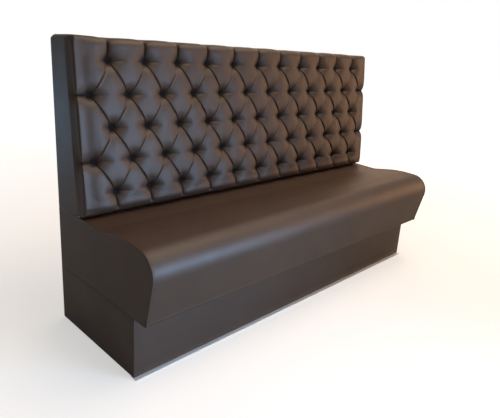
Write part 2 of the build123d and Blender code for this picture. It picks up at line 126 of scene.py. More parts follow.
def filletPath(corners, radii, arcStep):
    # an open path in (setback, z) with its inner corners rounded; arcStep is in degrees
    corners = [np.array(c, float) for c in corners]
    path = [corners[0]]
    for before, corner, after, radius in zip(corners, corners[1:], corners[2:], radii):
        back = (before - corner) / np.linalg.norm(before - corner)
        ahead = (after - corner) / np.linalg.norm(after - corner)
        half = math.acos(float(np.clip(back @ ahead, -1, 1))) / 2
        reach = radius / math.tan(half)
        middle = (back + ahead) / np.linalg.norm(back + ahead)
        centre = corner + middle * radius / math.sin(half)
        first = corner + back * reach - centre
        last = corner + ahead * reach - centre
        turn = math.atan2(first[0] * last[1] - first[1] * last[0], float(first @ last))
        steps = max(2, int(abs(math.degrees(turn)) / arcStep) + 1)
        for k in range(steps + 1):
            angle = turn * k / steps
            spin = np.array([[math.cos(angle), -math.sin(angle)], [math.sin(angle), math.cos(angle)]])
            path.append(centre + spin @ first)
    path.append(corners[-1])
    return np.array(path)


def respaced(path, spacing):
    # the same path with no step longer than the spacing
    out = [path[0]]
    for a, b in zip(path, path[1:]):
        count = max(1, int(math.ceil(np.linalg.norm(b - a) / spacing)))
        out += [a + (b - a) * k / count for k in range(1, count + 1)]
    return np.array(out)


def pathNormals(path):
    # the left-hand normal of each point of a path
    along = np.gradient(path, axis=0)
    along /= np.linalg.norm(along, axis=1)[:, None]
    return np.stack([-along[:, 1], along[:, 0]], axis=1)


# materials

def made(tree, kind, output, inputs, **settings):
    # adds a node and gives back one of its outputs; a constant is set on its socket, and a socket is linked
    node = tree.nodes.new("ShaderNode" + kind)
    for key, value in settings.items():
        setattr(node, key, value)
    for key, value in inputs.items():
        if isinstance(value, bpy.types.NodeSocket):
            tree.links.new(value, node.inputs[key])
        else:
            node.inputs[key].default_value = value
    return node.outputs[output] if node.outputs else None


def stretched(tree, scale=(1, 1, 1)):
    # object coordinates with their own scale along each axis
    spot = made(tree, "TexCoord", "Object", {})
    return made(tree, "Mapping", "Vector", {"Vector": spot, "Scale": scale})


def noise(tree, vector, scale, detail, **more):
    return made(tree, "TexNoise", "Fac", {"Vector": vector, "Scale": scale, "Detail": detail, **more})


def ramp(tree, factor, turn, first, second):
    # the first colour below the turn, the second above it
    colour = made(tree, "ValToRGB", "Color", {"Fac": factor})
    for element, position, value in zip(colour.node.color_ramp.elements, turn, (first, second)):
        element.position = position
        element.color = (*value, 1)
    return colour


def span(tree, factor, low, high, fromLow=0.0, fromHigh=1.0):
    limits = {"From Min": fromLow, "From Max": fromHigh, "To Min": low, "To Max": high}
    return made(tree, "MapRange", "Result", {"Value": factor, **limits})


def mixed(tree, share, first, second, blend="MIX"):
    colours = {0: share, 6: first, 7: second}       # the node's sockets for a factor and two colours
    return made(tree, "Mix", 2, colours, data_type="RGBA", blend_type=blend)


def arithmetic(tree, operation, first, second):
    return made(tree, "Math", 0, {0: first, 1: second}, operation=operation)


def bumped(tree, height, strength, distance, **under):
    return made(tree, "Bump", "Normal", {"Height": height, "Strength": strength, "Distance": distance, **under})


def newMaterial(name, build, spec):
    material = bpy.data.materials.new(name)
    material.use_nodes = True
    tree = material.node_tree
    shader = tree.nodes["Principled BSDF"]
    colour, roughness, normal = build(tree, spec)
    tree.links.new(colour, shader.inputs["Base Color"])
    tree.links.new(normal, shader.inputs["Normal"])
    if roughness is not None:
        tree.links.new(roughness, shader.inputs["Roughness"])
    for key in ("Metallic", "Roughness", "Specular IOR Level"):
        if key in spec:
            shader.inputs[key].default_value = spec[key]
    return material


# in each dictionary a turn is where the first colour becomes the second, and a bump is (strength, height in metres)

leathercloth = {
    "base": (0.044, 0.0250, 0.0165),
    "light": (0.057, 0.0335, 0.0225),
    "cloudScale": 5.0,
    "cloudTurn": (0.3, 0.75),
    "Specular IOR Level": 0.40,
    "roughness": (0.46, 0.56),
    "streakScale": 14.0,
    "grainScale": 620.0,
    "grainShade": (0.82, 1.06, 0.0, 0.22),      # shade at the grain's edge and inside it
    "grainHeight": (0.0, 1.0, 0.0, 0.25),
    "grainBump": (0.20, 0.00022),
    "poreScale": 1500.0,
    "poreBump": (0.10, 0.00010),
    "paintedFoldShade": (1.0, 0.12, 0.25, 1.0),             # painted shade: folds and pits are darker
    "matt": (0.0, 0.9, 0.45, 0.95),             # and hold no sheen
}


def buildLeathercloth(tree, spec):
    plain = stretched(tree)
    cloud = noise(tree, plain, spec["cloudScale"], 4.0, Roughness=0.6)
    tone = ramp(tree, cloud, spec["cloudTurn"], spec["base"], spec["light"])
    cells = {"Vector": plain, "Scale": spec["grainScale"]}
    grain = made(tree, "TexVoronoi", "Distance", cells, feature="DISTANCE_TO_EDGE")
    shaded = mixed(tree, 1.0, tone, span(tree, grain, *spec["grainShade"]), "MULTIPLY")
    # painted shade: the value painted on the back darkens the colour in its folds and pits, and makes them matt
    paintedShade = made(tree, "Attribute", "Fac", {}, attribute_name="paintedShade")
    colour = mixed(tree, 1.0, shaded, span(tree, paintedShade, *spec["paintedFoldShade"]), "MULTIPLY")
    gloss = span(tree, noise(tree, plain, spec["streakScale"], 3.0), *spec["roughness"])
    roughness = arithmetic(tree, "MAXIMUM", gloss, span(tree, paintedShade, *spec["matt"]))
    coarse = bumped(tree, span(tree, grain, *spec["grainHeight"]), *spec["grainBump"])
    pores = noise(tree, plain, spec["poreScale"], 2.0)
    return colour, roughness, bumped(tree, pores, *spec["poreBump"], Normal=coarse)


birch = {
    "pale": (0.62, 0.47, 0.31),
    "dark": (0.50, 0.35, 0.21),
    "glue": (0.25, 0.15, 0.08),
    "veneer": (3.0, 9.0, 60.0),
    "swirlTurn": (0.35, 0.62),
    "plyScale": 55.0,
    "plyTurn": (0.3, 0.6),
    "plyShare": 0.12,
    "fibre": (12.0, 12.0, 900.0),
    "fibreTurn": (0.35, 0.6),
    "fibreShare": 0.25,
    "roughness": (0.5, 0.68),
    "bump": (0.25, 0.0003),
}
pine = {
    "pale": (0.66, 0.49, 0.28),
    "dark": (0.47, 0.29, 0.13),
    "log": (1.0, 6.0, 6.0),
    "ringScale": 26.0,
    "ringTurn": (0.25, 0.8),
    "fibre": (20.0, 500.0, 500.0),
    "fibreTurn": (0.4, 0.6),
    "fibreShare": 0.3,
    "roughness": (0.5, 0.7),
    "bump": (0.3, 0.0004),
}


def plyFace(tree, spec):
    swirl = noise(tree, stretched(tree, spec["veneer"]), 3.0, 6.0, Distortion=0.6)
    face = ramp(tree, swirl, spec["swirlTurn"], spec["dark"], spec["pale"])
    waves = {"Vector": stretched(tree), "Scale": spec["plyScale"], "Distortion": 0.6}
    plies = made(tree, "TexWave", "Fac", waves, bands_direction="DIAGONAL")
    return mixed(tree, spec["plyShare"], face, ramp(tree, plies, spec["plyTurn"], spec["glue"], spec["pale"]))


def logFace(tree, spec):
    waves = {"Vector": stretched(tree, spec["log"]), "Scale": spec["ringScale"], "Distortion": 5.0, "Detail": 3.0}
    return ramp(tree, made(tree, "TexWave", "Fac", waves), spec["ringTurn"], spec["pale"], spec["dark"])


def buildWood(tree, spec):
    fibre = noise(tree, stretched(tree, spec["fibre"]), 1.0, 3.0)
    flecks = ramp(tree, fibre, spec["fibreTurn"], spec["dark"], spec["pale"])
    face = (plyFace if "veneer" in spec else logFace)(tree, spec)
    colour = mixed(tree, spec["fibreShare"], face, flecks)
    return colour, span(tree, fibre, *spec["roughness"]), bumped(tree, fibre, *spec["bump"])


def buildMetal(tree, spec):
    # brushed or plated metal, its fine lines drawn along one axis
    lines = noise(tree, stretched(tree, spec["along"]), 1.0, 4.0)
    smear = noise(tree, stretched(tree), 9.0, 4.0)
    lined = ramp(tree, lines, (0.3, 0.7), *spec["colours"])
    colour = mixed(tree, 0.25, lined, ramp(tree, smear, (0.4, 0.6), *spec["colours"]))
    return colour, span(tree, lines, *spec["roughness"]), bumped(tree, lines, *spec["bump"])


def buildMoulded(tree, spec):
    plain = stretched(tree)
    cloud = noise(tree, plain, 40.0, 3.0)
    spark = noise(tree, plain, 1600.0, 2.0)
    colour = ramp(tree, cloud, (0.35, 0.7), *spec["colours"])
    return colour, span(tree, cloud, 0.4, 0.55), bumped(tree, spark, 0.15, 0.0002)


def buildWoven(tree, spec):
    # two crossing sets of threads
    plain = stretched(tree)
    waves = {"Vector": plain, "Scale": spec["pitch"], "Distortion": 0.3}
    warp, weft = [made(tree, "TexWave", "Color", waves, bands_direction=way) for way in "XZ"]
    cross = mixed(tree, 1.0, warp, weft, "MULTIPLY")
    fuzz = noise(tree, plain, 300.0, 4.0)
    weave = ramp(tree, cross, (0.1, 0.7), *spec["colours"])
    colour = mixed(tree, 0.35, weave, ramp(tree, fuzz, (0.4, 0.65), *spec["colours"]))
    return colour, None, bumped(tree, cross, 0.5, 0.0003)


def buildFoam(tree, spec):
    plain = stretched(tree)
    cells = made(tree, "TexVoronoi", "Distance", {"Vector": plain, "Scale": spec["cellScale"]})
    cloud = noise(tree, plain, 12.0, 3.0)
    clouded = ramp(tree, cloud, (0.3, 0.7), *spec["clouds"])
    colour = mixed(tree, 0.3, ramp(tree, cells, (0.1, 0.6), *spec["cells"]), clouded)
    return colour, None, bumped(tree, cells, 0.6, 0.0008)


leather = newMaterial("brownLeathercloth", buildLeathercloth, leathercloth)
# a much darker, less glossy copy of the leather: painted shade on the buttons deep in the pits
buttonShadeLeather = newMaterial("paintedShadeLeathercloth", buildLeathercloth, {
    **leathercloth,
    "base": (0.010, 0.006, 0.004),
    "light": (0.014, 0.008, 0.006),
    "Specular IOR Level": 0.12,
    "roughness": (0.7, 0.8),
})
plywood = newMaterial("birchPlywood", buildWood, birch)
softwood = newMaterial("softwood", buildWood, pine)
foam = newMaterial("upholsteryFoam", buildFoam, {
    "cellScale": 420.0,
    "cells": ((0.55, 0.50, 0.33), (0.74, 0.70, 0.52)),
    "clouds": ((0.62, 0.55, 0.36), (0.76, 0.72, 0.55)),
    "Roughness": 0.95,
})
dustCloth = newMaterial("blackDustCloth", buildWoven, {
    "colours": ((0.006, 0.006, 0.007), (0.022, 0.022, 0.024)),
    "pitch": 260.0,
    "Specular IOR Level": 0.2,
    "Roughness": 0.9,
})
twine = newMaterial("tuftingTwine", buildWoven, {
    "colours": ((0.25, 0.21, 0.15), (0.55, 0.50, 0.40)),
    "pitch": 700.0,
    "Specular IOR Level": 0.2,
    "Roughness": 0.9,
})
aluminium = newMaterial("satinAluminium", buildMetal, {
    "colours": ((0.80, 0.82, 0.85), (0.90, 0.92, 0.95)),
    "roughness": (0.42, 0.55),
    "along": (4.0, 900.0, 900.0),
    "bump": (0.06, 0.0001),
    "Metallic": 0.55,
})
zincSteel = newMaterial("zincPlatedSteel", buildMetal, {
    "colours": ((0.46, 0.48, 0.50), (0.72, 0.74, 0.76)),
    "roughness": (0.25, 0.45),
    "along": (260.0, 260.0, 260.0),
    "bump": (0.2, 0.0001),
    "Metallic": 1.0,
})
blackPlastic = newMaterial("blackPlastic", buildMoulded, {
    "colours": ((0.012, 0.012, 0.013), (0.025, 0.025, 0.027)),
})
togglePlastic = newMaterial("togglePlastic", buildMoulded, {
    "colours": ((0.10, 0.09, 0.08), (0.16, 0.15, 0.13)),
})
print("materials ready")

nodeFinish = {
    "kick_strip": aluminium,
    "foot_blocks": softwood,
    "back_bottom_rail": softwood,
    "back_top_rail": softwood,
    "tuft_toggles": togglePlastic,
}
for nodeName, node in nodes.items():
    if nodeName.startswith("foot_pad_"):
        finish = blackPlastic
    elif nodeName.startswith(("foot_stud_", "tee_nuts", "joining_plate", "back_coach", "kick_strip_screws")):
        finish = zincSteel
    else:
        finish = nodeFinish.get(nodeName, plywood)
    node.data.materials.clear()
    node.data.materials.append(finish)
print("CAD nodes dressed")


# camera, fitted to the outline of the bench in the photograph

view = {
    "azimuth": 45.131,
    "elevation": 16.327,
    "roll": 3.375,
    "position": (-1660.37, -1724.99, 1074.17),
    "focal": 483.506,
    "centre": (238.892, 195.93),
    "imageWidth": 500,
    "imageHeight": 418,
    "sensor": 36.0,
}


def makeCamera(spec):
    azimuth, elevation, lean = (math.radians(spec[k]) for k in ("azimuth", "elevation", "roll"))
    level = math.cos(elevation)
    forward = Vector((math.sin(azimuth) * level, math.cos(azimuth) * level, -math.sin(elevation)))
    right = forward.cross(Vector((0, 0, 1))).normalized()
    up = right.cross(forward)
    turnedRight = right * math.cos(lean) + up * math.sin(lean)
    turnedUp = up * math.cos(lean) - right * math.sin(lean)
    data = bpy.data.cameras.new("photoCamera")
    data.sensor_width = spec["sensor"]
    data.sensor_fit = "HORIZONTAL"
    data.lens = spec["focal"] * spec["sensor"] / spec["imageWidth"]
    data.shift_x = (spec["imageWidth"] / 2 - spec["centre"][0]) / spec["imageWidth"]
    data.shift_y = (spec["centre"][1] - spec["imageHeight"] / 2) / spec["imageWidth"]
    data.clip_start = 0.05
    data.clip_end = 100
    camera = bpy.data.objects.new("photoCamera", data)
    x, y, z = spec["position"]
    turn = Matrix((turnedRight, turnedUp, -forward)).transposed().to_4x4()
    camera.matrix_world = Matrix.Translation((x * mm, (y + rearY) * mm, z * mm)) @ turn
    scene.collection.objects.link(camera)
    scene.camera = camera


makeCamera(view)
print("camera placed")


# deep-buttoned back: one sheet over the front, the top and both ends

back = {
    "rake": 5.136,
    "boardSetback": 144.3,      # of the board's front face at the height of the lowest tufts
    "boardHeight": 555.0,
    "tuftPitch": 152.6,
    "tuftRise": 117.0,
    "rows": 5,
    "wideRow": 12,
    "puff": 63.0,               # height of the puffs above the board
    "bottom": 478.4,
    "railTop": 1095.0,
    "topRadius": 32.0,
    "rearRadius": 11.0,
    "lowerRadius": 38.0,
    "roundStep": 9.0,           # degrees between the points of a round corner
    "roundSpacing": 7.0,
    "stepsPerHalfPitch": 36,
    "deepest": 36.0,
    "deepestOnTop": 9.0,        # only a thin layer lies over the top rail
    "deepestBelow": 3.0,        # and the underside stays flat on the seat
    "onTop": (0.75, 0.2),       # how far a point faces up: where that begins, and over what range
    "below": (0.2, 0.5),
    "foldsStop": (4.0, 20.0),   # at the rear of the top strip
    "calmEnd": (0.9, 25.0, 40.0),   # share of the folds that dies out at the side facing, and where
    "limitEase": 1.0,
    "swells": 14,               # slow swell of the stuffing
    "swellSeed": 5,
    "swellRate": (0.006, 0.022),
    "swellStart": (0, 6.28),
    "swellHeight": 0.22,
    "rearPoints": 8,            # of a column down the board, and how far they stay below the sheet
    "rearDrop": 1.0,
}

# how the pad rolls over its two ends
roll = {
    "radius": 12.5,             # across the bench
    "corner": (8.5, 11.0),      # the round part, across and towards the rear
    "reach": 60.0,              # the whole roll towards the rear
    "tilt": 79.0,
    "steps": 14,
    "flat": (15.0, 52.0),       # what its round and its straight part measure when laid flat
    "turnedUp": (0.2, 0.7),
    "turnedDown": (0.3, 0.65),
    "topRadius": 17.0,
    "lowRadius": 7.0,
    "ease": (5.0, 3.0, 2.0),    # roundness of the facing's edge in front, on top and below
    "fall": 8.0,                # how much lower the puffs are at the ends
    "fallFrom": (30.0, 70.0),
    "squeezeFrom": 3.0,         # past the outer tufts the columns spread to the smaller radii
    "gather": 0.8,              # points of the facing closer than this become one
    "freeEdge": [(150.0, 477.9), (146.0, 477.0), (1.5, 477.0)],
}

# a fold is steep on its upper side and gentle below; each slope is a sum of (share, width) parts
folds = {
    "seed": 11,
    "window": 60.0,
    "joint": 6.0,               # how sharply two folds meet
    "tuftDepth": 27.0,
    # length, depth at the tuft and depth at the far end
    "toTop": (235, 27.0, 6.5),
    "toBottom": (-120, 27.0, 7.0),
    "toEnd": (120, 25.0, 3.0),
    "creaseDepth": 26.0,
    "creaseRoom": 60,
    "creaseLength": (56, 72),
    "creaseTilt": (-3, 3),
    # dark is the painted shade down in the slit: how dark, and over what width
    "diagonal": {
        "dark": (0.35, 3.2),
        "tuftPower": 2.5,
        "depthPower": 3,
        "tuftSlit": 0.2,
        "gentle": 0.62,
        "broad": (0.10, 0.30),
        "widths": (2.0, 20.0),
        "lipWidths": (7.0, 2.2),
        "lipPower": 4,
        "beadPlace": 7.0,
        "beadWidth": 3.2,
        "beadEnds": ((0.1, 0.2), (0.9, 0.3)),       # where along the fold it rises and where it has gone
    },
    "upright": {
        "dark": (0.9, 3.2),
        "power": 0.7,
        "gentle": ((0.45, 3.0), (0.55, 26.0)),
        "steep": ((0.45, 3.0), (0.55, 26.0)),
    },
    "level": {
        "dark": (1.5, 6.0),
        "power": 1.4,
        "gentle": ((0.25, 3.0), (0.75, 17.0)),
        "steep": ((0.35, 2.5), (0.65, 27.0)),
    },
    "crease": {
        "dark": (1.15, 4.0),
        "power": 1.2,
        "gentle": ((0.35, 3.0), (0.65, 11.0)),
        "steep": ((0.15, 3.0), (0.85, 26.0)),
    },
    # diagonals that fall to the right open towards the left end, those that rise are lapped shut
    "falling": {"mid": 11.0, "slit": 0.10, "slitWidth": 2.5, "roll": 24.0, "lip": 5.0, "bead": 0.0},
    "rising": {"mid": 10.0, "slit": 0.05, "slitWidth": 3.0, "roll": 24.0, "lip": 8.0, "bead": 2.2},
}

pit = {
    "window": 70,
    "far": 400.0,
    "funnel": ((18.0, 34.0), (16.0, 12.5)),     # depth and width of its wide and its narrow part
    "floor": 31.5,
    "dip": (3.5, 6.5, 2.0),     # the button sinks a little deeper
    "ease": 2.0,
    "dark": (34.0, 0.22, 12.0),     # painted shade: depth that is fully dark, then the extra painted shade right at the tuft and its width
    "borderDrop": 2.0,
    "borderWidth": 30,
    # short tension wrinkles that run out of each tuft
    "wrinkles": 6,
    "wrinkleReach": (20, 42),
    "wrinkleLift": (-1.1, 1.1),
    "wrinkleBend": 0.004,
    "wrinkleWidth": 2.4,
    "wrinkleEnds": ((8, 8), 14),
}

rake = math.radians(back["rake"])
upAlong = np.array([-math.sin(rake), math.cos(rake)])       # up the board, in (setback, z)
outward = np.array([math.cos(rake), math.sin(rake)])        # out of the board, in (setback, z)
boardStart = np.array([back["boardSetback"], back["boardHeight"]])
fieldHalf = (back["wideRow"] - 1) / 2 * back["tuftPitch"]
fieldRise = (back["rows"] - 1) * back["tuftRise"]


def boardPoint(w, v):
    return boardStart + upAlong * w + outward * v


def boardSetbackAt(z):
    return back["boardSetback"] - (z - back["boardHeight"]) * math.tan(rake)


def tuftPlaces():
    places = []
    for row in range(back["rows"]):
        count = back["wideRow"] - 1 + row % 2
        for i in range(count):
            places.append(((i - (count - 1) / 2) * back["tuftPitch"], row * back["tuftRise"], row))
    return places


def foldSegments(dice):
    # every fold of the pad as (start, end, kind, depth at start, depth at end)
    found = []
    pitch, rise, depth = back["tuftPitch"], back["tuftRise"], folds["tuftDepth"]
    for x, w, row in tuftPlaces():
        for side in (-1, 1):
            far = x + side * pitch / 2
            if row < back["rows"] - 1 and abs(far) <= fieldHalf + 1:
                found.append(((x, w), (far, w + rise), "diagonal", depth, depth))
        for edge, rowThere in (("toTop", back["rows"] - 1), ("toBottom", 0)):
            if row == rowThere:
                length, *depths = folds[edge]
                found.append(((x, w), (x, w + length), "upright", *depths))
        if row % 2 and abs(abs(x) - fieldHalf) < 1:
            length, *depths = folds["toEnd"]
            found.append(((x, w), (x + math.copysign(length, x), w), "level", *depths))
        for side in (-1, 1):
            if abs(x + side * folds["creaseRoom"]) < fieldHalf or row % 2 == 0:
                length = dice.uniform(*folds["creaseLength"])
                end = (x + side * length, w + dice.uniform(*folds["creaseTilt"]))
                found.append(((x, w), end, "crease", folds["creaseDepth"], 0.0))
    return found


def slope(away, *parts):
    return sum(share * np.exp(-away / width) for share, width in parts)


def foldField(x, w):
    # inward depth and sideways shift of the sheet at each point of the grid, in millimetres, and the painted shade
    # there
    dice = random.Random(folds["seed"])
    deep = np.zeros_like(x)
    shiftX = np.zeros_like(x)
    shiftW = np.zeros_like(x)
    beads = np.zeros_like(x)    # stretched edges that stand up beside the lapped folds
    slitShade = np.zeros_like(x)    # painted shade down in a fold
    wide = folds["window"]
    for (ax, aw), (bx, bw), kind, depthA, depthB in foldSegments(dice):
        near = (
            (x > min(ax, bx) - wide) & (x < max(ax, bx) + wide)
            & (w > min(aw, bw) - wide) & (w < max(aw, bw) + wide)
        )
        if not near.any():
            continue
        px, pw = x[near] - ax, w[near] - aw
        run = math.hypot(bx - ax, bw - aw)
        ex, ew = (bx - ax) / run, (bw - aw) / run
        nx, nw = -ew, ex
        if nw < 0 or (kind == "upright" and nx < 0):
            nx, nw = -nx, -nw
        along = px * ex + pw * ew
        across = px * nx + pw * nw
        past = np.maximum(0, np.maximum(-along, along - run))
        s = np.clip(along / run, 0, 1)
        away = np.hypot(across, past)
        upper = across > 0
        fade = np.clip(1 - (away / wide) ** 2, 0, 1) ** 2
        spec = folds[kind]
        darkness, darkWidth = spec["dark"]
        if kind == "diagonal":
            fold = folds["rising" if (bx - ax) * (bw - aw) > 0 else "falling"]
            toTuft = np.abs(2 * s - 1)
            nearTuft = toTuft ** spec["tuftPower"]
            depth = fold["mid"] + (depthA - fold["mid"]) * toTuft ** spec["depthPower"]
            slit = fold["slit"] + spec["tuftSlit"] * nearTuft
            gentle = slope(away, (slit, fold["slitWidth"]), (spec["gentle"], fold["roll"]))
            broad = spec["broad"][0] + spec["broad"][1] * nearTuft
            steep = slope(away, *zip((1 - broad, broad), spec["widths"]))
            outer, inner = [np.exp(-away / width) for width in spec["lipWidths"]]
            push = fold["lip"] * (outer - inner) * upper * (1 - toTuft ** spec["lipPower"]) * (past == 0)
            shiftX[near] -= push * nx
            shiftW[near] -= push * nw
            (first, rise), (last, drop) = spec["beadEnds"]
            ridge = np.exp(-((across + spec["beadPlace"]) / spec["beadWidth"]) ** 2)
            beads[near] += fold["bead"] * ridge * smooth((s - first) / rise) * smooth((last - s) / drop)
        else:
            if kind == "crease":
                depth = depthA * (1 - s) ** spec["power"]
            else:
                depth = depthA + (depthB - depthA) * s ** spec["power"]
            gentle, steep = slope(away, *spec["gentle"]), slope(away, *spec["steep"])
            darkness = darkness * (1 - s)
        deep[near] += (depth * np.where(upper, steep, gentle) * fade) ** folds["joint"]
        slitShade[near] = np.maximum(slitShade[near], darkness * np.exp(-(away / darkWidth) ** 2))
    deep = deep ** (1 / folds["joint"])
    nearest = np.full_like(x, pit["far"])
    wrinkles = np.zeros_like(x)
    (start, rise), drop = pit["wrinkleEnds"]
    for tx, tw, _ in tuftPlaces():
        near = (np.abs(x - tx) < pit["window"]) & (np.abs(w - tw) < pit["window"])
        rx, rw = x[near] - tx, w[near] - tw
        nearest[near] = np.minimum(nearest[near], np.hypot(rx, rw))
        for _ in range(pit["wrinkles"]):
            angle = dice.uniform(0, 2 * math.pi)
            reach = dice.uniform(*pit["wrinkleReach"])
            lift = dice.uniform(*pit["wrinkleLift"])
            on = rx * math.cos(angle) + rw * math.sin(angle)
            bend = pit["wrinkleBend"] * on ** 2 * dice.uniform(-1, 1)
            off = -rx * math.sin(angle) + rw * math.cos(angle) + bend
            ridge = lift * np.exp(-(off / pit["wrinkleWidth"]) ** 2)
            wrinkles[near] += ridge * smooth((on - start) / rise) * smooth((reach - on) / drop)
    funnel = sum(depth * np.exp(-(nearest / width) ** 2) for depth, width in pit["funnel"])
    deep = (deep ** 2 + funnel ** 2) ** 0.5
    dip, dipFrom, dipWidth = pit["dip"]
    floor = pit["floor"] + dip * smooth((dipFrom - nearest) / dipWidth)
    deep = floor - pit["ease"] * np.log1p(np.exp((floor - deep) / pit["ease"]))
    deep += wrinkles - beads
    edge = pit["borderWidth"]
    border = smooth((np.abs(x) - fieldHalf) / edge) + smooth((w - fieldRise) / edge) + smooth(-w / edge)
    deep += pit["borderDrop"] * np.clip(border, 0, 1)
    darkDepth, darkness, darkWidth = pit["dark"]
    # painted shade: darker the deeper the sheet lies, darkest at each tuft and down each slit
    paintedShade = np.maximum(deep / darkDepth + darkness * np.exp(-(nearest / darkWidth) ** 2), slitShade)
    return deep, shiftX, shiftW, paintedShade


def backProfile():
    # the outline of the pad in (setback, z) from the rear of the top strip over the front to the underside
    top, bottom, puff = bench["height"], back["bottom"], back["puff"]
    frontTop = boardSetbackAt(top) + puff / math.cos(rake)
    frontLow = boardSetbackAt(bottom) + puff / math.cos(rake)
    corners = [(0, back["railTop"]), (0, top), (frontTop, top), (frontLow, bottom)]
    corners.append((boardSetbackAt(bottom), bottom))
    radii = [back["rearRadius"], back["topRadius"], back["lowerRadius"]]
    raw = respaced(filletPath(corners, radii, back["roundStep"]), back["roundSpacing"])
    local = raw - boardStart
    w, v = local @ upAlong, local @ outward
    onFront = np.abs(v - puff) < 0.01
    topW, lowW = w[onFront].max(), w[onFront].min()
    step = back["tuftRise"] / back["stepsPerHalfPitch"]
    rowsW = [k * step for k in range(int(math.ceil(lowW / step)), int(topW / step) + 1)][::-1]
    rowsW = [topW] + [r for r in rowsW if topW - r > 1 and r - lowW > 1] + [lowW]
    first = int(np.argmax(onFront))
    last = len(raw) - int(np.argmax(onFront[::-1]))
    front = np.array([boardPoint(r, puff) for r in rowsW])
    path = np.concatenate([raw[:first], front, raw[last:]])
    unrolled = np.zeros(len(path))
    unrolled[first:first + len(rowsW)] = rowsW
    for k in range(first - 1, -1, -1):
        unrolled[k] = unrolled[k + 1] + np.linalg.norm(path[k] - path[k + 1])
    for k in range(first + len(rowsW), len(path)):
        unrolled[k] = unrolled[k - 1] - np.linalg.norm(path[k] - path[k - 1])
    return path, unrolled


def softLimit(value, limit, width):
    return -width * np.logaddexp(-value / width, -limit / width)


def between(value, start, width):
    return smooth((value - start) / width)


